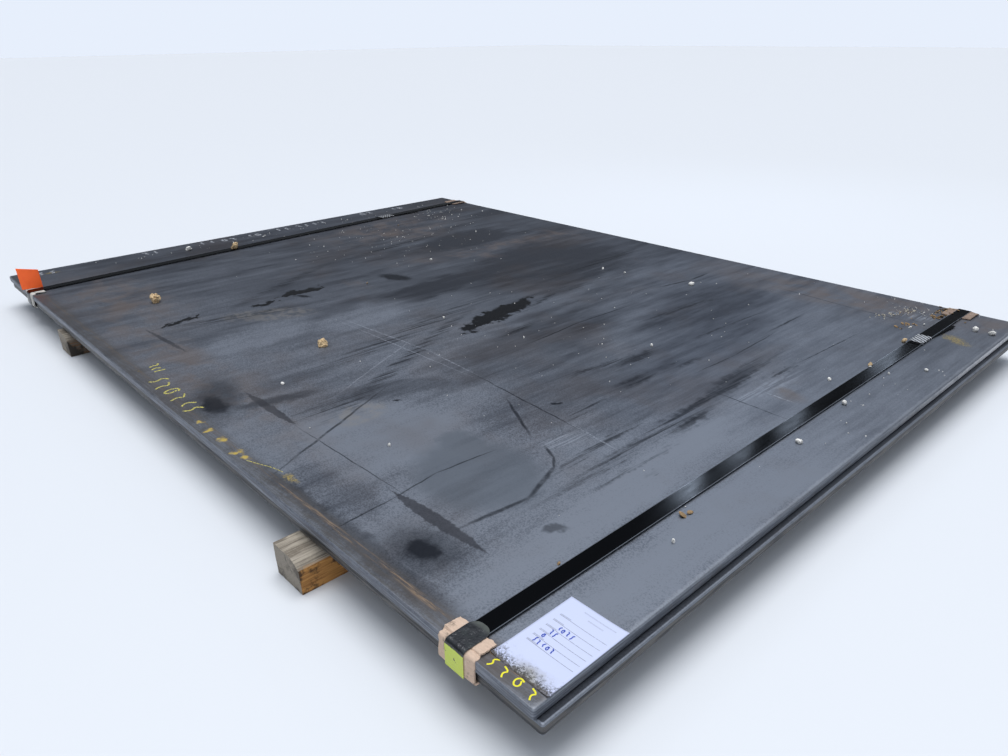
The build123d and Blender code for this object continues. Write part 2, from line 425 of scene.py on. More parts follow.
# In millimetres: the scale's grit, which is finer than 1 mm and drawn this coarse to show at all, and how far
# in from the plate's left edge the rust line lies and the dirty border ends
GRIT_GRAIN = 3.2
RUST_LINE_IN = 26.4
BORDER_IN = 50.4


def warped(tree, point, amount_mm, size_mm, start=None):
    """The point pushed about by noise, in waves of one size and by up to half the amount each way."""
    wobble = put(tree, "ShaderNodeTexNoise", {"Vector": point, "Scale": 1 / size_mm, "Detail": 2.0,
                                              "Roughness": 0.7}, output="Color")
    centred = put(tree, "ShaderNodeVectorMath", wobble, (0.5, 0.5, 0.5), operation="SUBTRACT")
    shift = put(tree, "ShaderNodeVectorMath", {0: centred, "Scale": amount_mm}, operation="SCALE")
    moved = point if start is None else start
    return put(tree, "ShaderNodeVectorMath", moved, shift, operation="ADD")


def streaked(tree, point, size_mm, stretch, turn):
    """Noise drawn out along one direction: its size across, and how many times that it is along."""
    turned = put(tree, "ShaderNodeVectorRotate", {"Vector": point, "Angle": radians(-turn)},
                 rotation_type="Z_AXIS")
    squeezed = put(tree, "ShaderNodeMapping", {"Vector": turned, "Scale": (1 / stretch, 1.0, 1.0)})
    return put(tree, "noise", squeezed, 1 / size_mm, 4, 0.65)


def plate_patterns(tree, point):
    """What the layers of the plates' finish share: place and facing, noise patterns and warped points.

    Its level is 1 on flat faces and 0 on upright ones.
    """
    low, high = mm_box("upper_plate")
    place = put(tree, "ShaderNodeSeparateXYZ", point, output=None).outputs
    facing = put(tree, "ShaderNodeNewGeometry", output="Normal")
    normal = put(tree, "ShaderNodeSeparateXYZ", facing, output=None).outputs
    torn = warped(tree, point, 30, 12)
    return SimpleNamespace(
        low=low, high=high, point=point, place=place, normal=normal,
        level=put(tree, "absolute", normal["Z"]),
        on_top=put(tree, "ramp", place["Z"], high.z - 0.6, high.z - 0.2),
        oval=mask_group("Oval mask", False), lens=mask_group("Lens mask", True),
        loose=warped(tree, point, 90, 150), tight=warped(tree, point, 7, 60),
        ragged=warped(tree, point, 34, 26), frayed=warped(tree, point, 13, 15),
        lobed=warped(tree, point, 110, 60, torn),
        fine=streaked(tree, point, 5, 24, 90),
        brush=put(tree, "ramp", streaked(tree, point, 9, 22, 89), 0.42, 0.6, 0.08, 1.0),
        along_edge=streaked(tree, point, 3.5, 16, 2),
        grit=put(tree, "noise", point, 1 / GRIT_GRAIN, 3, 0.8),
        mottle=put(tree, "noise", point, 1 / 24, 5, 0.65))


def marked(tree, seen, shape, where, rows, soft, strength):
    """The mask of one kind of mark, on the upper plate's top face only.

    Soft is how far its rim fades in and out, as a share of its size, and strength is its most.
    """
    mask = put(tree, "multiply", blots(tree, shape, where, rows, soft), strength)
    return put(tree, "multiply", mask, seen.on_top)


def plate_tone(tree, seen, films, patch):
    """How light the scale is, 0 to 1: streaked, grainy, and lighter towards the tagged corner as painted
    sheen.
    """
    # Painted sheen: the scale is lighter towards the tagged corner and darker away from it
    sheen_nearness = put(tree, "subtract", seen.place["X"], put(tree, "multiply", seen.place["Y"], 0.9))
    cloud = put(tree, "noise", seen.point, 1 / 380, 4, 0.6)
    sheen_nearness = put(tree, "add", sheen_nearness, put(tree, "rescale", cloud, 0.3, 0.7, -380.0, 380.0))
    tone = put(tree, "rescale", sheen_nearness, -850.0, 1350.0, 0.22, 0.88)
    # Streaks along the rolling direction, 110, 30 and 5 mm wide
    wide, medium = streaked(tree, seen.point, 110, 5, 90), streaked(tree, seen.point, 30, 7, 87)
    tone = put(tree, "subtract", tone, put(tree, "ramp", wide, 0.48, 0.7, 0.0, 0.22))
    tone = put(tree, "add", tone, put(tree, "rescale", medium, 0.3, 0.7, -0.18, 0.15))
    tone = put(tree, "add", tone, put(tree, "rescale", seen.fine, 0.3, 0.7, -0.1, 0.1))
    tone = put(tree, "subtract", tone, films)
    tone = put(tree, "add", tone, marked(tree, seen, seen.oval, seen.loose, PALE_FILMS, 0.4, 0.33))
    grainy = put(tree, "multiply", put(tree, "rescale", seen.grit, 0.4, 0.6, -0.34, 0.34),
                 put(tree, "ramp", tone, 0.2, 0.8, 0.25, 1.0))
    grainy = put(tree, "multiply", grainy, put(tree, "subtract", 1.0, patch))
    grainy = put(tree, "multiply", grainy, put(tree, "ramp", seen.place["Y"], -480.0, 60.0, 1.0, 0.4))
    return put(tree, "add", tone, grainy, use_clamp=True)


def edge_dirt(tree, seen):
    """The rust line and the dirty border along the left edge, as two masks."""
    across = put(tree, "ShaderNodeSeparateXYZ", seen.tight, output="Y")
    middle = seen.low.y + RUST_LINE_IN
    off_line = put(tree, "absolute", put(tree, "subtract", across, middle))
    line = put(tree, "ramp", off_line, 0.5, 7.5, 1.0, 0.0)
    line = put(tree, "multiply", line, put(tree, "ramp", seen.along_edge, 0.4, 0.56, 0.1, 1.0))
    line = put(tree, "multiply", line, put(tree, "ramp", seen.place["X"], 260.0, 900.0, 0.12, 0.62))
    border = put(tree, "ramp", across, seen.low.y + BORDER_IN, middle, 0.0, 0.62)
    border = put(tree, "multiply", put(tree, "multiply", border, seen.on_top),
                 put(tree, "ramp", seen.along_edge, 0.35, 0.6, 0.35, 1.0))
    return put(tree, "multiply", line, seen.on_top), border


def plate_masks(tree, seen):
    """The masks of all marks on the upper plate, most of them broken up by a pattern."""
    def ovals(where, rows, soft, strength):
        return marked(tree, seen, seen.oval, where, rows, soft, strength)

    def broken(mask, pattern, *ramp):
        return put(tree, "multiply", mask, put(tree, "ramp", pattern, *ramp))

    blooms = put(tree, "noise", seen.loose, 1 / 90, 5, 0.65)
    rust_line, border = edge_dirt(tree, seen)
    return SimpleNamespace(
        films=ovals(seen.loose, DARK_FILMS, 0.35, 0.31), patch=ovals(seen.ragged, SHEEN_PATCH, 0.25, 0.6),
        smears=put(tree, "multiply", ovals(seen.ragged, SMEARS, 0.8, 0.8), seen.brush),
        rust=broken(ovals(seen.loose, RUST_BLOOMS, 0.7, 0.5), blooms, 0.38, 0.62, 0.1, 1.0),
        halos=ovals(seen.ragged, HALOS, 0.5, 0.55),
        scuffs=broken(ovals(seen.ragged, SCUFFS, 0.7, 0.42), seen.brush, 0.3, 0.9),
        rubbed=broken(ovals(seen.ragged, RUBBED, 0.3, 0.5), seen.mottle, 0.42, 0.58, 0.15, 1.0),
        dark_lines=broken(ovals(seen.tight, DARK_LINES, 0.5, 0.75), seen.mottle, 0.3, 0.55, 0.45, 1.0),
        pale_lines=broken(ovals(seen.tight, PALE_LINES, 0.5, 0.55), seen.fine, 0.35, 0.6),
        rust_line=rust_line, border=border,
        lenses=marked(tree, seen, seen.lens, seen.frayed, LENS_STAINS, 0.14, 0.75),
        spots=ovals(seen.ragged, OVAL_STAINS, 0.4, 0.85),
        spills=marked(tree, seen, seen.lens, seen.lobed, SPILLS, 0.15, 0.95),
        dabs=broken(ovals(seen.ragged, YELLOW_DABS, 0.4, 0.75), seen.mottle, 0.38, 0.55),
        dust=broken(ovals(seen.ragged, YELLOW_DUST, 0.7, 0.65), seen.grit, 0.4, 0.6))


def plate_sides(tree, seen):
    """The colour of the plates' side faces: lines along them, the tagged end's faces painted lighter, and a
    painted highlight there.
    """
    rolled = put(tree, "ShaderNodeMapping", {"Vector": seen.point, "Scale": (0.03, 0.03, 1.0)})
    lines = put(tree, "noise", rolled, 1 / 2.4, 3, 0.6)
    drawn = put(tree, "ramp", lines, 0.42, 0.62, 0.0, 0.7)
    # Painted light: the faces at the tagged end are a lighter grey than the other sides
    facing_end = put(tree, "ramp", seen.normal["X"], 0.5, 0.9)
    tint = put(tree, "blend", facing_end, put(tree, "blend", drawn, linear("6c7078"), linear("969aa2")),
               put(tree, "blend", drawn, linear("5e636b"), linear("858a93")))
    # Painted highlight on the tagged end's faces, growing towards +Y
    end_face_highlight = put(tree, "multiply", facing_end,
                  put(tree, "ramp", seen.place["Y"], -200.0, seen.high.y, 0.0, 1.0))
    end_face_highlight = put(tree, "multiply", end_face_highlight, put(tree, "ramp", seen.mottle, 0.3, 0.6, 0.5, 1.0))
    tint = put(tree, "blend", end_face_highlight, tint, linear("d8d8da"))
    lower_plate = put(tree, "ramp", seen.place["Z"], seen.low.z + 0.5, seen.low.z - 0.5)
    lower_tint = put(tree, "blend", put(tree, "ramp", lines, 0.4, 0.6), linear("46474b"), linear("6f6e6c"))
    tint = put(tree, "blend", lower_plate, tint, lower_tint)
    rusty = put(tree, "multiply", put(tree, "ramp", seen.mottle, 0.5, 0.66), 0.2)
    return put(tree, "blend", rusty, tint, linear("72685e"))


def edge_wear_and_highlight(tree, seen, base, bright):
    """The base colour, its rounded upper edges rubbed brighter, with a painted highlight at and along the
    tagged end.
    """
    rounded = put(tree, "multiply", put(tree, "ramp", seen.level, 0.1, 0.4),
                  put(tree, "ramp", seen.level, 0.985, 0.86))
    rounded = put(tree, "multiply", rounded, put(tree, "ramp", seen.normal["Z"], 0.0, 0.2))
    worn = put(tree, "ramp", put(tree, "noise", seen.point, 1 / 160, 4, 0.6), 0.4, 0.62, 0.1, 0.5)
    # Painted highlight: rounded edges that face the tagged end are brighter still
    worn = put(tree, "maximum", worn, put(tree, "ramp", seen.normal["X"], 0.1, 0.4, 0.0, 0.35))
    pitted = put(tree, "ramp", seen.mottle, 0.36, 0.5, 0.55, 1.0)
    mask = put(tree, "multiply", put(tree, "multiply", rounded, worn), pitted)
    base = put(tree, "blend", mask, base, bright)
    # Painted highlight: a strip 5 to 9 mm in from the tagged end of the top face
    wander = put(tree, "ramp", seen.mottle, 0.3, 0.7, -2.0, 2.0)
    strip = put(tree, "ramp", put(tree, "add", seen.place["X"], wander), seen.high.x - 9.0,
                seen.high.x - 5.0, 0.0, 0.25)
    return put(tree, "blend", put(tree, "multiply", strip, seen.on_top), base, bright)


def scale_material():
    """Hot-rolled mill scale: a dark oxide skin on steel, with streaks, dried water, stains and rust.

    The eye sees a slate-grey sheet with a soft sheen, grainy near the tagged corner and painted paler there
    as painted sheen, darker and smeared along the rolling direction farther away, with bright rubbed edges
    and a painted highlight along the tagged end.
    """
    own = settings().plate
    material, tree, shader, point = new_material("hot_rolled_mill_scale")
    film, stain, rust = tuple(own.film), tuple(own.stain), tuple(own.rust)
    seen = plate_patterns(tree, point)
    masks = plate_masks(tree, seen)
    tone = plate_tone(tree, seen, masks.films, masks.patch)
    warm = put(tree, "ramp", put(tree, "noise", seen.loose, 1 / 260, 3, 0.6), 0.48, 0.72, 0.0, 0.22)
    rust_tint = put(tree, "blend", put(tree, "ramp", seen.along_edge, 0.48, 0.6), linear("5a4d41"),
                    linear("9c8267"))
    layers = (
        # The sheen patch's grey is painted sheen
        (warm, rust), (masks.patch, linear("5b626b")), (masks.smears, stain), (masks.rust, rust),
        (masks.halos, stain), (masks.scuffs, film), (masks.rubbed, linear("8e8b87")),
        (masks.dark_lines, stain), (masks.pale_lines, film), (masks.border, linear("57524d")),
        (masks.lenses, linear("3b3c42")), (masks.spots, stain), (masks.spills, linear("0b0c10")),
        (masks.rust_line, rust_tint), (put(tree, "maximum", masks.dabs, masks.dust), linear("c3a83f")),
    )
    # The tone, painted sheen included, blends the dark scale into the light
    base = put(tree, "blend", tone, tuple(own.dark_scale), tuple(own.scale))
    for mask, tint in layers:
        base = put(tree, "blend", mask, base, tint)
    base = edge_wear_and_highlight(tree, seen, base, tuple(own.bright))
    # Dirt and painted shade: the lower plate's top ledge beside the upper plate is painted dark, as the
    # groove under the upper plate's edge
    shaded_ledge = put(tree, "multiply", put(tree, "ramp", seen.place["Z"], seen.low.z + 0.5, seen.low.z - 0.2),
                put(tree, "ramp", seen.level, 0.985, 0.999))
    base = put(tree, "blend", put(tree, "multiply", shaded_ledge, 0.9), base, linear("26282d"))
    base = put(tree, "blend", put(tree, "ramp", seen.level, 0.3, 0.1), base, plate_sides(tree, seen))
    wet = put(tree, "maximum", put(tree, "maximum", masks.spills, masks.lenses), masks.films)
    gloss = put(tree, "subtract", put(tree, "rescale", tone, 0.0, 1.0, 0.46, 0.62),
                put(tree, "multiply", wet, 0.1))
    dull = put(tree, "maximum", put(tree, "maximum", masks.rust_line, masks.dabs),
               put(tree, "multiply", masks.rust, 0.8))
    relief = put(tree, "add", put(tree, "multiply", seen.mottle, 0.5), put(tree, "multiply", seen.grit, 0.3))
    bump = put(tree, "ShaderNodeBump", {"Height": relief, "Distance": 0.6 * MM, "Strength": 0.4})
    feed(shader, {"Base Color": base, "Metallic": put(tree, "subtract", 1.0, dull),
                  "Roughness": put(tree, "add", gloss, put(tree, "multiply", dull, 0.3)), "Normal": bump})
    return material


def strap_material():
    """Black painted and waxed steel strap: smooth, so it mirrors the light in soft patches.

    A thin bright line is painted along each edge of the near strap, each side of its middle where its seal
    sits, as a painted highlight. Dust specks are drawn 2 mm wide, so that they show.
    """
    own = settings().strap
    material, tree, shader, point = new_material("waxed_black_strapping")
    smear = put(tree, "ShaderNodeMapping", {"Vector": point, "Scale": (1.0, 0.12, 1.0)})
    wax = put(tree, "noise", smear, 1 / 18, 3, 0.6)
    dust = put(tree, "ramp", put(tree, "noise", point, 1 / 2.2, 2, 0.5), 0.68, 0.76, 0.0, 0.06)
    seal_low, seal_high = mm_box("near_seal")
    middle = (seal_low.x + seal_high.x) / 2
    edge = middle - mm_box("near_strap")[0].x
    across = put(tree, "ShaderNodeSeparateXYZ", point, output="X")
    off_line = put(tree, "absolute", put(tree, "subtract", across, middle))
    # Painted highlight: a thin bright line along each edge of the near strap
    worn = put(tree, "multiply", put(tree, "ramp", off_line, edge - 1.5, edge - 0.7),
               put(tree, "ramp", off_line, edge + 0.7, edge + 0.1))
    base = put(tree, "blend", dust, tuple(own.paint), linear("3f4248"))
    base = put(tree, "blend", put(tree, "multiply", worn, 0.6), base, linear("767c85"))
    ripple = put(tree, "noise", smear, 1 / 60, 2, 0.5)
    bump = put(tree, "ShaderNodeBump", {"Height": ripple, "Distance": 0.4 * MM, "Strength": 0.3})
    feed(shader, {"Base Color": base, "Roughness": put(tree, "ramp", wax, 0.3, 0.7, 0.1, 0.16),
                  "Specular IOR Level": 0.045, "Normal": bump})
    return material


RIB_PITCH = 9.0  # millimetres from one crimped rib of a seal to the next


def seal_material():
    """Zinc-plated seal: dull pale metal, ribbed aslant by the crimping jaws, with painted shade in the rib
    grooves.
    """
    own = settings().strap
    material, tree, shader, point = new_material("zinc_plated_seal")
    spangle = put(tree, "noise", point, 1 / 3.5, 3, 0.6)
    slant = put(tree, "ShaderNodeMapping", {"Vector": point, "Rotation": (0, 0, radians(35))})
    ribs = put(tree, "ShaderNodeTexWave", {"Vector": slant, "Scale": WAVE / RIB_PITCH, "Distortion": 2.2,
                                           "Detail": 2.0}, wave_type="BANDS", bands_direction="Y",
               wave_profile="SIN", output="Fac")
    base = put(tree, "blend", put(tree, "ramp", spangle, 0.4, 0.65, 0.0, 0.4), tuple(own.zinc),
               linear("6c6d70"))
    # Painted shade: the rib grooves are made darker
    base = put(tree, "blend", put(tree, "ramp", ribs, 0.5, 0.15, 0.0, 0.9), base, linear("2c2d30"))
    bump = put(tree, "ShaderNodeBump", {"Height": ribs, "Distance": 1.6 * MM, "Strength": 1.0})
    feed(shader, {"Base Color": base, "Metallic": 1.0, "Roughness": 0.45, "Normal": bump})
    return material


def timber_material(name, side_hex, dark_hex):
    """Rough-sawn softwood: grey faces with grain along Y, ringed pale ends and a stained side."""
    own = settings().timber
    material, tree, shader, point = new_material(name)
    lengthwise = put(tree, "ShaderNodeMapping", {"Vector": point, "Scale": (1.0, 0.04, 1.0)})
    fibre = put(tree, "noise", lengthwise, 1 / 4, 5, 0.65)
    patches = put(tree, "noise", point, 1 / 52, 5, 0.7)
    flat = put(tree, "ShaderNodeVectorMath", point, (1.0, 0.0, 1.0), operation="MULTIPLY")
    rings = put(tree, "ShaderNodeTexWave", {"Vector": flat, "Scale": WAVE * MM / own.ring_pitch,
                                            "Distortion": 3.0, "Detail": 2.0, "Detail Scale": 0.5},
                wave_type="RINGS", rings_direction="Y", wave_profile="SIN", output="Fac")
    facing = put(tree, "ShaderNodeNewGeometry", output="Normal")
    normal = put(tree, "ShaderNodeSeparateXYZ", facing, output=None).outputs
    end = put(tree, "ramp", put(tree, "absolute", normal["Y"]), 0.6, 0.8)
    sawn = put(tree, "blend", put(tree, "ramp", fibre, 0.38, 0.62), tuple(own.grey), linear("6d6458"))
    sawn = put(tree, "blend", put(tree, "ramp", patches, 0.45, 0.7, 0.0, 0.5), sawn, tuple(own.pale))
    side = put(tree, "blend", put(tree, "ramp", fibre, 0.42, 0.66, 0.0, 0.8), linear(side_hex),
               tuple(own.brown))
    side = put(tree, "blend", put(tree, "ramp", patches, 0.47, 0.58, 0.0, 0.9), side, linear(dark_hex))
    cut = put(tree, "blend", put(tree, "ramp", rings, 0.3, 0.9, 0.0, 0.75), tuple(own.grey),
              linear("6f675e"))
    cut = put(tree, "blend", put(tree, "ramp", patches, 0.48, 0.6, 0.0, 0.8), cut, linear("544d45"))
    base = put(tree, "blend", put(tree, "ramp", normal["X"], 0.7, 0.95), sawn, side)
    base = put(tree, "blend", end, base, cut)
    relief = put(tree, "add", fibre, put(tree, "multiply", rings, end))
    bump = put(tree, "ShaderNodeBump", {"Height": relief, "Distance": 1.2 * MM, "Strength": 0.8})
    feed(shader, {"Base Color": base, "Roughness": 0.85, "Normal": bump})
    return material


def darker(tint, share):
    """A colour at a share of its strength."""
    return tuple(share * c for c in tint[:3]) + (1.0,)


def board_material(name, tint):
    """Fibreboard: matt, tan, with short fibres, creases and grubby patches.

    Its fibres are finer than 1 mm and are drawn 3 mm wide, so that they show.
    """
    material, tree, shader, point = new_material(name)
    squeezed = put(tree, "ShaderNodeMapping", {"Vector": point, "Scale": (0.3, 1.0, 1.0)})
    fibre = put(tree, "noise", squeezed, 1 / 3, 4, 0.7)
    grime = put(tree, "noise", point, 1 / 20, 5, 0.7)
    base = put(tree, "blend", put(tree, "ramp", fibre, 0.35, 0.7, 0.0, 0.35), tint, darker(tint, 0.6))
    base = put(tree, "blend", put(tree, "ramp", grime, 0.54, 0.66, 0.0, 0.75), base, linear("5f554b"))
    base = put(tree, "blend", put(tree, "ramp", grime, 0.42, 0.3, 0.0, 0.5), base, linear("ddd2c6"))
    bump = put(tree, "ShaderNodeBump", {"Height": put(tree, "add", fibre, grime), "Distance": 0.8 * MM,
                                        "Strength": 0.8})
    feed(shader, {"Base Color": base, "Roughness": 0.9, "Normal": bump})
    return material


def marker_material(name, tint, ground, cover):
    """Paint marker or chalk on rough scale: it covers the high spots and skips the low ones.

    The spots that it skips are drawn 2.5 mm wide, coarser than the scale's own grit, so that they show.
    """
    material, tree, shader, point = new_material(name)
    skipped = put(tree, "ramp", put(tree, "noise", point, 1 / 2.5, 3, 0.7), cover, cover + 0.1)
    feed(shader, {"Base Color": put(tree, "blend", skipped, tint, ground), "Roughness": 0.6})
    return material


def stone_material(name, tint):
    """Crushed stone or dry leaf: matt, with darker and lighter grains."""
    material, tree, shader, point = new_material(name)
    flecks = put(tree, "ramp", put(tree, "noise", point, 1 / 3, 3, 0.7), 0.42, 0.66)
    feed(shader, {"Base Color": put(tree, "blend", flecks, tint, darker(tint, 0.5)), "Roughness": 0.9})
    return material


class PLATEPACK_OT_plates(bpy.types.Operator):
    """Give both plates their mill scale"""
    bl_idname = "platepack.plates"
    bl_label = "Plates"

    def execute(self, context):
        material = scale_material()
        dress("upper_plate", material)
        dress("lower_plate", material)
        return {"FINISHED"}


class PLATEPACK_OT_straps(bpy.types.Operator):
    """Paint the straps and plate their seals"""
    bl_idname = "platepack.straps"
    bl_label = "Straps and seals"

    def execute(self, context):
        strap, seal = strap_material(), seal_material()
        for end in ("near", "far"):
            dress(f"{end}_strap", strap)
            dress(f"{end}_seal", seal)
        return {"FINISHED"}


def sawn_section(low, high, wane_run, wane_drop):
    """Points round a bearer's section, from the top of the wane clockwise, in millimetres."""
    steps, spacing = 10, 8
    centre_x, centre_z = high.x - wane_run, high.z - wane_drop
    points = [(centre_x + wane_run * sin(i * pi / 2 / steps),
               centre_z + wane_drop * cos(i * pi / 2 / steps)) for i in range(steps + 1)]
    corner = points[-1]
    for target in ((high.x, low.z), (low.x, low.z), (low.x, high.z), points[0]):
        count = max(2, int(hypot(target[0] - corner[0], target[1] - corner[1]) / spacing))
        for i in range(1, count + 1):
            share = i / count
            points.append((corner[0] + share * (target[0] - corner[0]),
                           corner[1] + share * (target[1] - corner[1])))
        corner = target
    return points[:-1]


# In millimetres: how far the bark edge runs in from a bearer's side and how far it drops, and the depth of
# the saw's dents
WANE = (40.0, 22.0)
SAW_DENT = 1.1


class PLATEPACK_OT_bearers(bpy.types.Operator):
    """Saw the two timber bearers, with rough faces and a bark edge"""
    bl_idname = "platepack.bearers"
    bl_label = "Bearers"

    def execute(self, context):
        self.saw("near_bearer", timber_material("rough_sawn_softwood", "b98648", "33241a"), end_seed=1)
        self.saw("far_bearer", timber_material("weathered_softwood", "6b6156", "2c2925"), end_seed=0)
        return {"FINISHED"}

    def saw(self, node_name, material, end_seed):
        """One bearer: its section repeated along Y, dented by the saw, its ends cut a little rough."""
        low, high = mm_box(node_name)
        section = sawn_section(low, high, *WANE)
        centre = (low + high) / 2
        stations = 96
        rings = []
        for k in range(stations + 1):
            y = low.y + (high.y - low.y) * k / stations
            inwards = 1 if k == 0 else -1 if k == stations else 0
            ring = []
            for x, z in section:
                # Waves 22 mm wide and 7 mm wide, both drawn out along the grain
                rough = noise.noise(Vector((x / 22, y / 160, z / 22)))
                rough += 0.5 * noise.noise(Vector((x / 7, y / 40, z / 7)))
                dent = SAW_DENT * max(0.0, 0.5 + rough)
                # The ends are up to 1.6 mm rough and slope in by 3% downwards
                end_cut = abs(1.6 * noise.noise(Vector((x / 9, end_seed, z / 9)))) + 0.03 * (high.z - z)
                axis = Vector((centre.x - x, 0, centre.z - z)).normalized()
                ring.append(Vector((x, y + inwards * end_cut, z)) + dent * axis)
            rings.append(ring)
        vertices = [v * MM for ring in rings for v in ring]
        n = len(section)
        faces = [(k * n + i, k * n + (i + 1) % n, (k + 1) * n + (i + 1) % n, (k + 1) * n + i)
                 for k in range(stations) for i in range(n)]
        faces += [tuple(range(n))[::-1], tuple(stations * n + i for i in range(n))]
        obj = mesh_object(node_name + "_timber", vertices, faces, material)
        finished(obj, [node_name], smooth=False)


HALF_UNDER_STRAP = 17.0  # a folded strip lies flat this far each side of the strap's middle, in millimetres


def folded_strip(name, path, material, centre_x, half_width, thickness, lift, rag, seed):
    """A stiff strip folded along a path of (y, z) points: it is flat under the strap and lifts beside it.

    All sizes are in millimetres: lift is how far its long edges rise, and rag how ragged its edges are.
    """
    columns = 26
    rows = len(path)
    lengths = [0.0]
    for a, b in zip(path, path[1:]):
        lengths.append(lengths[-1] + hypot(b[0] - a[0], b[1] - a[1]))
    vertices = []
    for layer in (1, -1):
        for j, (y, z) in enumerate(path):
            before, after = path[max(j - 1, 0)], path[min(j + 1, rows - 1)]
            onward = Vector((0, after[0] - before[0], after[1] - before[1])).normalized()
            out = Vector((0, -onward.z, onward.y)) if path[0][0] < 0 else Vector((0, onward.z, -onward.y))
            if out.z < 0 and j < rows / 3:
                out = -out
            arch = 0.5 + 1.1 * sin(pi * min(1.0, lengths[j] / (0.72 * lengths[-1])))
            for i in range(columns + 1):
                v = -1 + 2 * i / columns
                beside = max(0.0, abs(v) * half_width - HALF_UNDER_STRAP) / (half_width - HALF_UNDER_STRAP)
                waves = 0.8 + 0.5 * noise.noise(Vector((v * 2, lengths[j] / 16, seed)))
                raised = lift * beside ** 0.7 * arch * waves
                ragged = rag * noise.noise(Vector((lengths[j] / 6, seed, v)))
                x = centre_x + v * half_width + (ragged if abs(v) == 1 else 0)
                base = Vector((x, y, z)) + out * (raised + layer * thickness / 2)
                if j in (0, rows - 1):
                    torn = rag * (2.2 if j == 0 else 1.0)
                    base += onward * (torn * noise.noise(Vector((x / 9, seed, j))))
                vertices.append(base * MM)
    wide = columns + 1
    back = rows * wide
    faces = []
    for j in range(rows - 1):
        for i in range(columns):
            a = j * wide + i
            quad = (a, a + 1, a + wide + 1, a + wide)
            faces.append(quad)
            faces.append(tuple(back + q for q in reversed(quad)))
    rim = list(range(wide)) + [j * wide + columns for j in range(1, rows)]
    rim += [(rows - 1) * wide + i for i in range(columns - 1, -1, -1)]
    rim += [j * wide for j in range(rows - 2, 0, -1)]
    for a, b in zip(rim, rim[1:] + rim[:1]):
        faces.append((b, a, back + a, back + b))
    return mesh_object(name, vertices, faces, material)


def fold_path(side, reach, under, outer, low_z, high_z, bend, clear):
    """Centre line of a strip folded round the plates, as (y, z) points from the top's inner end.

    It has 13 points along the top, 6 round each fold, 3 down the side and 3 underneath.
    """
    top, bottom, wall = high_z + clear, low_z - clear, outer + clear
    points = [(outer - reach + i * (reach - bend) / 12, top) for i in range(13)]
    points += [(wall - bend + bend * sin(a), top - bend + bend * cos(a)) for a in np.linspace(0.2, 1.5, 6)]
    points += [(wall, top - bend - i * (top - bottom - 2 * bend) / 4) for i in range(1, 4)]
    points += [(wall - bend + bend * cos(a), bottom + bend - bend * sin(a))
               for a in np.linspace(0.1, 1.5, 6)]
    points += [(wall - bend - i * (under - bend) / 3, bottom) for i in range(1, 4)]
    return [(side * y, z) for y, z in points]


# In millimetres: a board's clearance from the plates, the radius of its fold along its middle line, and how
# far it reaches under the lower plate
BOARD_GAP = 0.25
BOARD_BEND = 5.8
BOARD_UNDER = 26.0


class PLATEPACK_OT_protectors(bpy.types.Operator):
    """Fold the four fibreboard protectors over the plates' edges"""
    bl_idname = "platepack.protectors"
    bl_label = "Edge protectors"

    def execute(self, context):
        own = settings().board
        tan = board_material("tan_fibreboard", tuple(own.tan))
        pale = board_material("weathered_fibreboard", tuple(own.pale))
        dirty = board_material("dirty_fibreboard", linear("8d796b"))
        thickness = own.thickness / MM
        underside, top = mm_box("lower_plate")[0].z, mm_box("upper_plate")[1].z
        for number, (node_name, side, material) in enumerate((
            ("near_left_protector", -1, tan), ("near_right_protector", 1, dirty),
            ("far_left_protector", -1, pale), ("far_right_protector", 1, dirty),
        )):
            low, high = mm_box(node_name)
            outer = max(high.y, -low.y) - thickness - BOARD_GAP
            path = fold_path(side, high.y - low.y - thickness - 0.2, BOARD_UNDER, outer, underside, top,
                             BOARD_BEND, thickness / 2 + BOARD_GAP)
            obj = folded_strip(node_name + "_board", path, material, centre_x=(low.x + high.x) / 2,
                               half_width=(high.x - low.x) / 2 - 0.4, thickness=thickness, lift=1.9,
                               rag=2.4, seed=3.1 + 5 * number)
            bevel = obj.modifiers.new("Soft edge", "BEVEL")
            bevel.width, bevel.segments, bevel.limit_method = 0.5 * MM, 2, "ANGLE"
            finished(plain_mesh(obj, node_name + "_board"), [node_name])
        return {"FINISHED"}


def label_material():
    """Glossy label film: smoke grey and dusty on top, lime green down the side, wrinkled by the bend."""
    own = settings().tag
    material, tree, shader, point = new_material("glossy_label_film")
    high = mm_box("strap_label")[1]
    place = put(tree, "ShaderNodeSeparateXYZ", point, output=None).outputs
    cloud = put(tree, "noise", point, 1 / 16, 3, 0.6)
    specks = put(tree, "noise", point, 1 / 7, 3, 0.6)
    smoke = put(tree, "blend", put(tree, "ramp", cloud, 0.46, 0.66, 0.0, 0.35), tuple(own.film),
                linear("3c4341"))
    inner_end = put(tree, "ramp", place["Y"], high.y - 13.0, high.y - 3.0, 0.0, 0.55)
    smoke = put(tree, "blend", inner_end, smoke, linear("5b6059"))
    lime = put(tree, "blend", put(tree, "ramp", specks, 0.66, 0.72), tuple(own.lime), linear("4b4a26"))
    waver = put(tree, "multiply", put(tree, "noise", point, 1 / 8, 2, 0.5), 3.0)
    split = put(tree, "add", place["Z"], waver)
    on_top = put(tree, "ramp", split, high.z - 6.5, high.z - 4.5)
    wrinkles = put(tree, "noise", point, 1 / 12, 3, 0.6)
    bump = put(tree, "ShaderNodeBump", {"Height": wrinkles, "Distance": 1.8 * MM, "Strength": 1.0})
    feed(shader, {"Base Color": put(tree, "blend", on_top, lime, smoke), "Coat Weight": 0.4,
                  "Roughness": put(tree, "ramp", split, high.z - 7.5, high.z - 4.5, 0.5, 0.18),
                  "Normal": bump})
    return material


class PLATEPACK_OT_label(bpy.types.Operator):
    """Finish the film label on the near strap"""
    bl_idname = "platepack.label"
    bl_label = "Strap label"

    def execute(self, context):
        dress("strap_label", label_material())
        return {"FINISHED"}


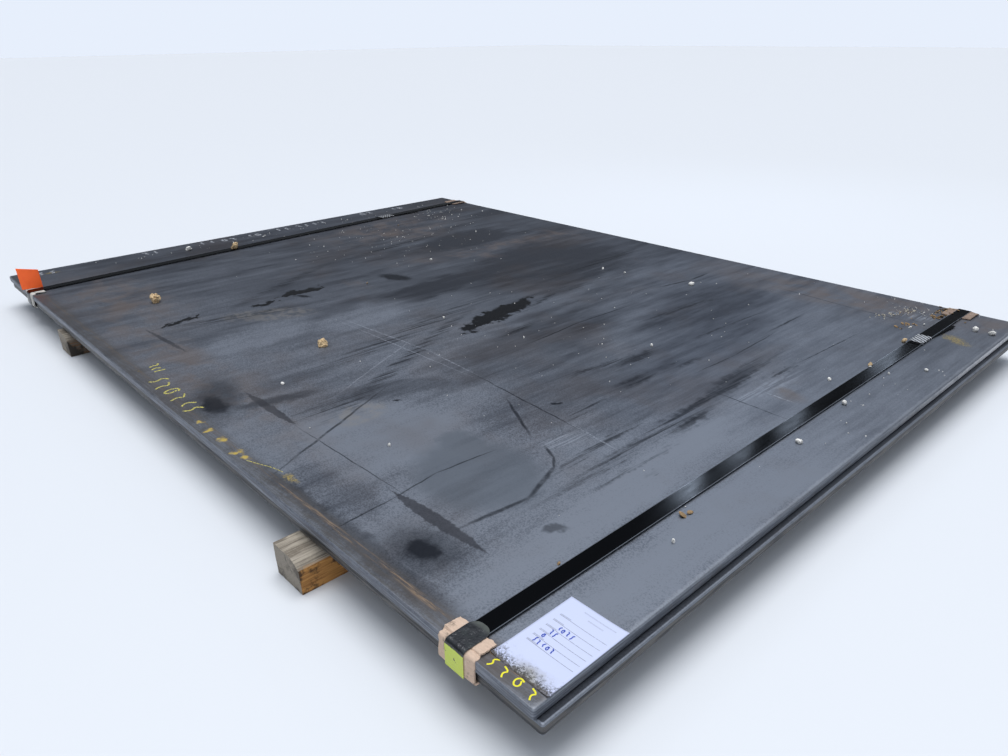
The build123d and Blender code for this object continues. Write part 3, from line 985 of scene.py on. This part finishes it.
def ribbon_tree(name, material, width, height):
    """Geometry Nodes: a flat line of paint that follows its curve and thins at its ends."""
    tree, given = geometry_tree(name, [("Width", "NodeSocketFloat", width),
                                       ("Height", "NodeSocketFloat", height)])
    even = put(tree, "GeometryNodeResampleCurve", {"Curve": given["Geometry"], "Length": 2.5 * MM},
               mode="LENGTH", output=None)
    profile = put(tree, "GeometryNodeCurvePrimitiveQuadrilateral",
                  {"Width": given["Width"], "Height": given["Height"]})
    swept = put(tree, "GeometryNodeCurveToMesh", {"Curve": even.outputs[0], "Profile Curve": profile,
                                                  "Fill Caps": True})
    close_tree(tree, swept, material)
    return tree


def strokes(name, lines, height_mm, material, width, thick_mm=0.14):
    """Marks drawn on a level face: each line is a list of (x, y) points in millimetres, smoothed.

    The width is in metres, as the add-on's settings are.
    """
    curve = bpy.data.curves.new(name, "CURVE")
    curve.dimensions = "3D"
    curve.twist_mode = "Z_UP"
    for line in lines:
        spline = curve.splines.new("NURBS")
        spline.points.add(len(line) - 1)
        for i, (knot, (x, y)) in enumerate(zip(spline.points, line)):
            knot.co = (x * MM, y * MM, (height_mm + thick_mm / 2) * MM, 1)
            knot.radius = 0.75 if i in (0, len(line) - 1) else 1.0
        spline.order_u = 3
        spline.use_endpoint_u = True
    obj = bpy.data.objects.new(name, curve)
    bpy.context.scene.collection.objects.link(obj)
    tree = ribbon_tree(name + " lines", material, width, thick_mm * MM)
    made = with_nodes(obj, tree, {"Width": width, "Height": thick_mm * MM}, name)
    return finished(made, smooth=False)


# Pen strokes in a unit square: they look written but spell nothing
SCRAWLS = [
    [(0.1, 0.95), (0.9, 0.8), (0.35, 0.45), (0.75, 0.05)],
    [(0.6, 1.0), (0.35, 0.5), (0.5, 0.0)],
    [(0.85, 0.8), (0.4, 1.0), (0.05, 0.5), (0.45, 0.0), (0.95, 0.35), (0.6, 0.75)],
    [(0.9, 0.9), (0.1, 0.5), (0.8, 0.15)],
    [(0.8, 1.0), (0.15, 0.7), (0.75, 0.4), (0.3, 0.0)],
]


# Where the far marks stand, as (x, y) in millimetres from the plan centre
CHALK_PLACES = [(-1186, -470), (-1185, -262), (-1172, -180), (-1168, -80), (-1178, 50), (-1176, 140),
                (-1170, 210), (-1186, 455), (-1176, 610), (-1174, -815)]


def scrawl(corner, width, height, pitch, order):
    """A row of written strokes along X, each a little off the last one's line; all in millimetres."""
    lines = []
    for k, index in enumerate(order):
        left = corner[0] + pitch * k + 0.1 * width * sin(5 * k)
        foot = corner[1] + 0.08 * height * sin(3 * k + 1)
        lines.append([(left + width * u, foot + height * v) for u, v in SCRAWLS[index]])
    return lines


class PLATEPACK_OT_marks(bpy.types.Operator):
    """Draw the yard's marker strokes and rubbed chalk on the upper plate"""
    bl_idname = "platepack.marks"
    bl_label = "Marks"

    def execute(self, context):
        own = settings().mark
        ground = tuple(settings().plate.dark_scale)
        top = mm_box("upper_plate")[1].z
        yellow = marker_material("yellow_paint_marker", tuple(own.yellow), ground, 0.62)
        faded = marker_material("faded_paint_marker", linear("c9bf5a"), ground, 0.48)
        chalk = marker_material("rubbed_chalk", tuple(own.chalk), ground, 0.46)
        # Each set of marks has its own line width, as a multiple of the marker's
        corner = scrawl((1118, -909), width=15, height=17, pitch=23, order=(4, 0, 2, 0))
        strokes("corner_marks", corner, top, yellow, own.width * 0.44)
        row = scrawl((-134, -868), width=16, height=26, pitch=20, order=(0, 3, 1))
        row += scrawl((-46, -900), width=28, height=40, pitch=40, order=(4, 0, 2, 0, 3, 4))
        strokes("size_marks", row, top, faded, own.width * 0.85)
        trail = [[(446, -896), (476, -885), (505, -872), (530, -868)]]
        strokes("yellow_trail", trail, top, faded, own.width * 0.32)
        rubbed = []
        for k, (x, y) in enumerate(CHALK_PLACES):
            word = scrawl((y - 30, -x - 17), width=24, height=34, pitch=36,
                          order=(k % 5, (2 * k + 1) % 5))
            rubbed += [[(-v, u) for u, v in line] for line in word]  # turned to run along Y
        strokes("chalk_marks", rubbed, top, chalk, own.width * 1.5)
        return {"FINISHED"}


def sheet_grid(name, columns, rows, shape, material):
    """A sheet from a function of (u, v) that gives each point in millimetres, with its own UV map."""
    vertices = [Vector(shape(i / columns, j / rows)) * MM for j in range(rows + 1)
                for i in range(columns + 1)]
    wide = columns + 1
    faces = [(j * wide + i, j * wide + i + 1, (j + 1) * wide + i + 1, (j + 1) * wide + i)
             for j in range(rows) for i in range(columns)]
    mesh = bpy.data.meshes.new(name)
    mesh.from_pydata([tuple(v) for v in vertices], [], faces)
    layer = mesh.uv_layers.new(name="UVMap")
    for polygon in mesh.polygons:
        for loop in polygon.loop_indices:
            index = mesh.loops[loop].vertex_index
            layer.data[loop].uv = ((index % wide) / columns, (index // wide) / rows)
    mesh.materials.append(material)
    obj = bpy.data.objects.new(name, mesh)
    bpy.context.scene.collection.objects.link(obj)
    return obj


def thickened(obj, name, thickness_mm, offset=1.0):
    """Gives a sheet its thickness and returns the plain mesh."""
    solid = obj.modifiers.new("Thickness", "SOLIDIFY")
    solid.thickness, solid.offset = thickness_mm * MM, offset
    return plain_mesh(obj, name)


def band(tree, value, middle, half):
    """1 where a value is within half of the middle, fading out just past it."""
    away = put(tree, "absolute", put(tree, "subtract", value, middle))
    return put(tree, "rescale", away, half, half + 0.002, 1.0, 0.0)


# Heights of the tag's ruled lines and of its heading's two lines, as shares of the sheet's length; the
# heading's also with the middle and half of their length, as shares of its width
RULED_LINES = (0.33, 0.41, 0.49, 0.57, 0.66, 0.75)
HEADING_LINES = ((0.925, 0.6, 0.27), (0.865, 0.6, 0.13))


def printed_ink(tree, across, up):
    """The mask of the form's print: rules, a grey bar on each for a word, and a heading of two bars."""
    def line(height, half_height, middle, half_length):
        return put(tree, "multiply", band(tree, up, height, half_height),
                   band(tree, across, middle, half_length))

    ink = None
    for height in RULED_LINES:
        word = put(tree, "multiply", line(height + 0.012, 0.006, 0.22, 0.09), 0.6)
        rule = put(tree, "maximum", line(height, 0.0022, 0.53, 0.4), word)
        ink = rule if ink is None else put(tree, "maximum", ink, rule)
    for height, middle, half_length in HEADING_LINES:
        words = put(tree, "multiply", line(height, 0.007, middle, half_length), 0.4)
        ink = put(tree, "maximum", ink, words)
    return ink


def paper_material():
    """Printed tag paper: cool white, ruled, with unreadable grey print and a wet, gritty lower end."""
    own = settings().tag
    material, tree, shader, point = new_material("ruled_tag_paper")
    chart = put(tree, "ShaderNodeUVMap", uv_map="UVMap")
    across, up = [put(tree, "ShaderNodeSeparateXYZ", chart, output=i) for i in (0, 1)]

    def grains(size_mm, detail, roughness, *ramp):
        return put(tree, "ramp", put(tree, "noise", point, 1 / size_mm, detail, roughness), *ramp)

    def raised(size_mm, amount):
        shift = put(tree, "multiply", put(tree, "noise", point, 1 / size_mm, 3, 0.6), amount)
        return put(tree, "add", up, shift)

    worn = grains(1.4, 2, 0.6, 0.4, 0.5, 0.35, 1.0)
    ink = put(tree, "multiply", put(tree, "multiply", printed_ink(tree, across, up), worn), 0.8)
    low_end = put(tree, "ramp", raised(22, 0.22), 0.31, 0.13)
    off_middle = put(tree, "absolute", put(tree, "subtract", across, 0.6))
    damp = put(tree, "multiply", put(tree, "ramp", off_middle, 0.05, 0.42, 1.0, 0.0), 0.85)
    grit = put(tree, "multiply", put(tree, "multiply", low_end, grains(4.5, 4, 0.75, 0.52, 0.58)), 0.85)
    rim = raised(9, 0.12)
    crumbs = put(tree, "multiply", grains(3, 3, 0.7, 0.47, 0.53),
                 put(tree, "ramp", rim, 0.19, 0.09, 0.0, 0.8))
    layers = (
        (ink, tuple(own.ink)), (put(tree, "multiply", low_end, damp), linear("8f8c80")),
        (grit, linear("35322e")), (crumbs, linear("22201d")),
        (put(tree, "ramp", rim, 0.1, 0.075, 0.0, 0.8), linear("4a443c")),
    )
    base = tuple(own.paper)
    for mask, tint in layers:
        base = put(tree, "blend", mask, base, tint)
    cockle = put(tree, "noise", point, 1 / 30, 3, 0.5)
    bump = put(tree, "ShaderNodeBump", {"Height": cockle, "Distance": 0.6 * MM, "Strength": 0.3})
    feed(shader, {"Base Color": base, "Roughness": 0.75, "Normal": bump})
    return material


class PLATEPACK_OT_paper(bpy.types.Operator):
    """Lay the paper tag in the near left corner, slightly cockled, and write on it"""
    bl_idname = "platepack.paper"
    bl_label = "Paper tag"

    def execute(self, context):
        low, high = mm_box("paper_tag")
        wide, tall = high.x - low.x, high.y - low.y

        def shape(u, v):
            """The sheet cockles a little, is held down at its rim, and lifts at one corner and one edge."""
            x, y = low.x + u * wide, low.y + v * tall
            cockle = 0.35 * (1 + noise.noise(Vector((x / 40, y / 40, 2.0))))
            held_down = min(1.0, 4 * min(u, 1 - u, v, 1 - v) + 0.2)
            corner = 2.4 * max(0.0, 1 - hypot(u, v) / 0.3) ** 2 + 2.2 * u ** 6
            return x, y, low.z + 0.05 + cockle * held_down + corner

        tag = sheet_grid("paper_tag_sheet", 30, 44, shape, paper_material())
        finished(thickened(tag, "paper_tag_sheet", 0.25), ["paper_tag"])
        pen, _, shader, _ = new_material("blue_ball_pen")
        feed(shader, {"Base Color": tuple(settings().tag.pen), "Roughness": 0.5})
        lines = []
        for number, order in enumerate(((4, 0, 3, 2, 0), (2,), (0, 4), (3, 2, 0, 4))):
            foot = low.x + (0.2 + 0.03 * number) * wide, low.y + RULED_LINES[number] * tall + 2.0
            lines += scrawl(foot, width=5.0, height=9.0, pitch=7.4, order=order)
        strokes("pen_writing", lines, high.z + 0.75, pen, 1.5 * MM, 0.12)
        return {"FINISHED"}


def card_material():
    """Fluorescent orange card: matt, with brownish smudges and specks, and a faint painted glow that lifts
    its brightness.
    """
    own = settings().tag
    material, tree, shader, point = new_material("orange_tag_card")
    smudges = put(tree, "ramp", put(tree, "noise", point, 1 / 12, 3, 0.65), 0.5, 0.66, 0.0, 0.25)
    specks = put(tree, "ramp", put(tree, "noise", point, 1 / 3.5, 3, 0.7), 0.62, 0.7, 0.0, 0.5)
    base = put(tree, "blend", smudges, tuple(own.card), linear("c9582c"))
    base = put(tree, "blend", specks, base, linear("8a4a35"))
    # Painted light: a faint glow, though the card is no lamp
    feed(shader, {"Base Color": base, "Roughness": 0.7, "Emission Color": base, "Emission Strength": 0.16})
    return material


class PLATEPACK_OT_card(bpy.types.Operator):
    """Stand the curled fluorescent orange card behind the far strap"""
    bl_idname = "platepack.card"
    bl_label = "Orange card"

    def execute(self, context):
        low, high = mm_box("orange_card")
        near, far = Vector((low.x + 9.9, low.y + 0.5, 0)), Vector((high.x - 0.4, high.y - 2.5, 0))

        def shape(u, v):
            """The card stands on a slanting foot line and curls back towards its top."""
            foot = near.lerp(far, u)
            height = v * (high.z - low.z - 1.0) * (1 - 0.16 * u * v)
            curl = 5.0 * v * v * (1 - u) - 1.5 * sin(pi * u) * v
            return foot.x - 0.4 - curl, foot.y - 1.5 * v + 0.6, low.z + 0.3 + height

        card = sheet_grid("orange_card_leaf", 16, 20, shape, card_material())
        finished(thickened(card, "orange_card_leaf", 0.6, 0.0), ["orange_card"])
        return {"FINISHED"}


def pebble_tree(name, material, detail):
    """Geometry Nodes: one rough crumb on each point, as large as the point's own size says."""
    tree, given = geometry_tree(name, [("Seed", "NodeSocketInt", 0), ("Roughness", "NodeSocketFloat", 0.9),
                                       ("Height", "NodeSocketFloat", 0.8),
                                       ("Tilt", "NodeSocketFloat", 3.1)])
    stone = put(tree, "GeometryNodeMeshIcoSphere", {"Radius": 1.0, "Subdivisions": detail})
    index = put(tree, "GeometryNodeInputIndex")
    size = put(tree, "GeometryNodeInputNamedAttribute", {"Name": "size"}, data_type="FLOAT")

    def drawn(least, most):
        return put(tree, "FunctionNodeRandomValue", {"Min": least, "Max": most, "ID": index,
                                                     "Seed": given["Seed"]}, data_type="FLOAT_VECTOR")

    least = put(tree, "ShaderNodeCombineXYZ", put(tree, "multiply", given["Tilt"], -1.0))
    turn = drawn(least, put(tree, "ShaderNodeCombineXYZ", given["Tilt"], given["Tilt"], 2 * pi))
    squash = put(tree, "ShaderNodeVectorMath", drawn((0.75, 0.5, 0.7), (1.3, 1.0, 1.1)),
                 put(tree, "ShaderNodeCombineXYZ", 1.0, 1.0, given["Height"]), operation="MULTIPLY")
    scale = put(tree, "ShaderNodeVectorMath", {0: squash, "Scale": size}, operation="SCALE")
    placed = put(tree, "GeometryNodeInstanceOnPoints",
                 {"Points": given["Geometry"], "Instance": stone, "Rotation": turn, "Scale": scale})
    real = put(tree, "GeometryNodeRealizeInstances", placed)
    # Lumps about 10 mm across, in positions that are in metres
    where = put(tree, "GeometryNodeInputPosition")
    lumps = put(tree, "ShaderNodeTexNoise", {"Vector": where, "Scale": 95.0, "Detail": 4.0}, output="Color")
    shift = put(tree, "ShaderNodeVectorMath", lumps, (0.5, 0.5, 0.5), operation="SUBTRACT")
    amount = put(tree, "multiply", size, given["Roughness"])
    push = put(tree, "ShaderNodeVectorMath", {0: shift, "Scale": amount}, operation="SCALE")
    moved = put(tree, "GeometryNodeSetPosition", {"Geometry": real, "Offset": push})
    close_tree(tree, moved, material)
    return tree


def pebbles(name, spots, material, seed, detail, height=0.8, tilt=3.1, roughness=1.6):
    """Crumbs lying on a level face: each spot is (x, y, z of the face, radius) in millimetres."""
    mesh = bpy.data.meshes.new(name)
    raised = 0.55 if tilt > 1 else 0.3
    mesh.from_pydata([(x * MM, y * MM, (z + raised * r) * MM) for x, y, z, r in spots], [], [])
    size = mesh.attributes.new("size", "FLOAT", "POINT")
    size.data.foreach_set("value", [r * MM for x, y, z, r in spots])
    obj = bpy.data.objects.new(name, mesh)
    bpy.context.scene.collection.objects.link(obj)
    tree = pebble_tree(name + " crumbs", material, detail)
    values = {"Seed": seed, "Roughness": roughness, "Height": height, "Tilt": tilt}
    return finished(with_nodes(obj, tree, values, name), smooth=detail > 2)


FLAT = {"height": 0.3, "tilt": 0.7, "roughness": 0.8}  # the shape of leaf crumbs and straw

# Loose dirt that the photograph shows one by one: x, y and, where they differ, the radius, in millimetres
GRAVEL = [(-605, -669, 17), (48, -498, 13), (-1019, -229, 15), (1056, 350, 6), (1049, 561, 6)]
WHITE_CHIPS = [(-1126, -356, 11), (406, 584, 8), (1119, -108, 7), (1103, 115, 6), (1146, 769, 9),
               (1185, 769, 9)]
SMALL_GRAVEL = [(1136, -535), (1025, 209), (1060, 340), (1037, 722), (1021, 673), (1156, 414), (1104, 337),
                (-389, 190), (-585, 568), (101, 525), (181, 541), (364, -98), (102, -150), (626, 91),
                (186, -683), (585, -675)]
LEAF_BITS = [(1106, -466, 8), (1109, -451, 6), (-318, -120, 5), (1050, -700, 4), (-900, 420, 5)]

# Loose dirt that lies in patches: middle x and y, spread along x and y, how many and how large
GRIT_PATCHES = [(-700, 300, 210, 210, 130, 1.7), (-950, 700, 100, 75, 60, 2.2), (980, 822, 55, 30, 60, 1.3),
                (500, 0, 300, 350, 100, 1.3), (1140, 200, 30, 300, 24, 1.6), (-1130, 0, 30, 350, 50, 2.0)]
LEAF_PATCHES = [(1040, 842, 12, 24, 36, 3.8), (1010, 700, 7, 5, 7, 3.6), (1000, 655, 6, 4, 4, 3.6),
                (1012, 800, 40, 34, 8, 2.6)]


class PLATEPACK_OT_dirt(bpy.types.Operator):
    """Drop the gravel, grit, straw and leaf crumbs on the upper plate"""
    bl_idname = "platepack.dirt"
    bl_label = "Gravel and crumbs"

    def execute(self, context):
        own = settings().dirt
        top = mm_box("upper_plate")[1].z
        tan = stone_material("tan_gravel", tuple(own.stone))
        white = stone_material("limestone_chip", tuple(own.white_stone))
        pebbles("gravel_large", [(x, y, top, r) for x, y, r in GRAVEL], tan, own.seed, 4)
        pebbles("white_chips", [(x, y, top, r) for x, y, r in WHITE_CHIPS], white, own.seed + 1, 3)
        rng = np.random.default_rng(own.seed)
        small = [(x, y, top, 3.2 + 2.2 * rng.random()) for x, y in SMALL_GRAVEL]
        pebbles("small_gravel", small, white, own.seed + 2, 2)
        pebbles("grit", self.grit(rng, top), white, own.seed + 3, 1)
        crumbs = self.leaf_crumbs(rng, top)
        straw = stone_material("bleached_straw", tuple(own.straw))
        pebbles("straw_bits", self.straw(rng, top), straw, own.seed + 5, 3, **FLAT)
        leaf = stone_material("leaf_crumb", tuple(own.leaf))
        pebbles("leaf_crumbs", crumbs, leaf, own.seed + 4, 3, **FLAT)
        return {"FINISHED"}

    def grit(self, rng, top):
        """Grit in patches, kept off the plate's very edges."""
        spots = []
        for middle_x, middle_y, spread_x, spread_y, count, radius in GRIT_PATCHES:
            xs = np.clip(rng.normal(middle_x, spread_x, count), -1205, 1195)
            ys = np.clip(rng.normal(middle_y, spread_y, count), -900, 900)
            spots += [(x, y, top, radius * (0.4 + rng.random())) for x, y in zip(xs, ys)]
        return spots

    def leaf_crumbs(self, rng, top):
        """Leaf crumbs in patches, on the near right board and one by one."""
        spots = []
        for middle_x, middle_y, spread_x, spread_y, count, radius in LEAF_PATCHES:
            spots += [(middle_x + spread_x * rng.normal(), min(middle_y + spread_y * rng.normal(), 905), top,
                       radius * (0.5 + rng.random())) for _ in range(count)]
        on_board = top + 3.4
        spots += [(1040 + 9 * rng.normal(), 868 + 16 * rng.normal(), on_board, 2 + 4 * rng.random())
                  for _ in range(14)]
        return spots + [(x, y, top, r) for x, y, r in LEAF_BITS]

    def straw(self, rng, top):
        """Straw in one slanting line, about 150 mm long."""
        return [(948 + 0.33 * run + 9 * rng.normal(), 762 + 0.94 * run + 10 * rng.normal(), top,
                 2.1 * (0.5 + rng.random())) for run in rng.uniform(-70, 80, 70)]


# Small lamps that the straps and the seals mirror: place in metres, and power in watts
MIRRORED_LAMPS = {
    "left_box": ((-0.549, 2.227, 1.986), 2.5), "middle_box": ((-0.429, 2.576, 1.824), 0.98),
    "right_box": ((-0.26, 2.909, 1.681), 0.68), "seal_box": ((-0.019, 3.613, 1.37), 0.48),
}


class PLATEPACK_OT_stage(bpy.types.Operator):
    """Set the floor, the light and the camera"""
    bl_idname = "platepack.stage"
    bl_label = "Stage"

    def execute(self, context):
        self.floor()
        self.sky(context)
        self.lamps(context)
        self.camera(context)
        context.scene.view_settings.view_transform = "Standard"
        return {"FINISHED"}

    def floor(self):
        """A wide level floor, kept out of the part itself."""
        material, _, shader, _ = new_material("studio_floor")
        feed(shader, {"Base Color": tuple(settings().stage.floor), "Roughness": 0.9})
        reach = 40.0
        corners = [(-reach, -reach, 0), (reach, -reach, 0), (reach, reach, 0), (-reach, reach, 0)]
        floor = mesh_object("floor", corners, [(0, 1, 2, 3)], material)

    def sky(self, context):
        """A soft dome: bright overhead and low down, dim between, as on an overcast day."""
        world = bpy.data.worlds.new("soft_dome")
        world.use_nodes = True
        tree = world.node_tree
        up = put(tree, "ShaderNodeTexCoord", output="Generated")
        height = put(tree, "ShaderNodeSeparateXYZ", up, output="Z")
        glow = put(tree, "ramp", height, 0.03, 0.15, 0.86, 0.0)
        ceiling = put(tree, "ramp", height, 0.45, 0.95, 0.17, 1.15)
        feed(tree.nodes["Background"], {"Strength": put(tree, "add", glow, ceiling),
                                        "Color": linear("e4ecf9")})
        context.scene.world = world

    def lamps(self, context):
        """The sun behind cloud, a soft lamp in front, and the small lamps that the steel mirrors."""
        key = bpy.data.lights.new("soft_key", "SUN")
        key.energy, key.angle = 2.0, radians(44)
        front = bpy.data.lights.new("front_fill", "AREA")
        front.size, front.energy, front.color = 2.4, 22.0, (0.93, 0.96, 1.0)
        placed = [(key, (-0.5, 0.5, 5.0)), (front, (3.6, -3.0, 1.5))]
        for name, (place, energy) in MIRRORED_LAMPS.items():
            box = bpy.data.lights.new(name, "AREA")
            box.size, box.energy, box.color = 0.16, energy, (0.66, 0.79, 1.0)
            placed.append((box, place))
        for lamp, place in placed:
            obj = bpy.data.objects.new(lamp.name, lamp)
            obj.location = place
            obj.rotation_euler = (-Vector(place)).to_track_quat("-Z", "Y").to_euler()
            context.scene.collection.objects.link(obj)

    def camera(self, context):
        """The camera as the photograph's was: its roll comes first, then its tilt and heading."""
        own = settings().stage
        camera = bpy.data.cameras.new("photo_view")
        camera.sensor_width, camera.lens, camera.clip_end = 36.0, own.lens, 200.0
        eye = bpy.data.objects.new("photo_view", camera)
        eye.location = own.place
        turn = Euler((own.tilt, 0, own.heading)).to_matrix() @ Euler((0, 0, own.roll)).to_matrix()
        eye.rotation_euler = turn.to_euler()
        context.scene.collection.objects.link(eye)
        context.scene.camera = eye


STEPS = (PLATEPACK_OT_plates, PLATEPACK_OT_straps, PLATEPACK_OT_bearers, PLATEPACK_OT_protectors,
         PLATEPACK_OT_label, PLATEPACK_OT_paper, PLATEPACK_OT_card, PLATEPACK_OT_marks, PLATEPACK_OT_dirt,
         PLATEPACK_OT_stage)


class PLATEPACK_PT_panel(bpy.types.Panel):
    """The pack's steps, in order"""
    bl_idname = "PLATEPACK_PT_panel"
    bl_label = "Plate pack"
    bl_space_type = "VIEW_3D"
    bl_region_type = "UI"
    bl_category = "Plate pack"

    def draw(self, context):
        """One button for each step."""
        for step in STEPS:
            self.layout.operator(step.bl_idname)


CLASSES = (PlateFinish, StrapFinish, TimberFinish, BoardFinish, TagFinish, MarkFinish, DirtFinish,
           StageSetup, PlatePackSettings, *STEPS, PLATEPACK_PT_panel)


def register():
    for item in CLASSES:
        bpy.utils.register_class(item)
    bpy.types.Scene.plate_pack = PointerProperty(type=PlatePackSettings)


def unregister():
    del bpy.types.Scene.plate_pack
    for item in reversed(CLASSES):
        bpy.utils.unregister_class(item)


def main():
    register()
    for step in STEPS:
        group, name = step.bl_idname.split(".")
        result = getattr(getattr(bpy.ops, group), name)()
        if "FINISHED" not in result:
            raise RuntimeError(f"{step.bl_label} did not finish")


if __name__ == "__main__":
    main()
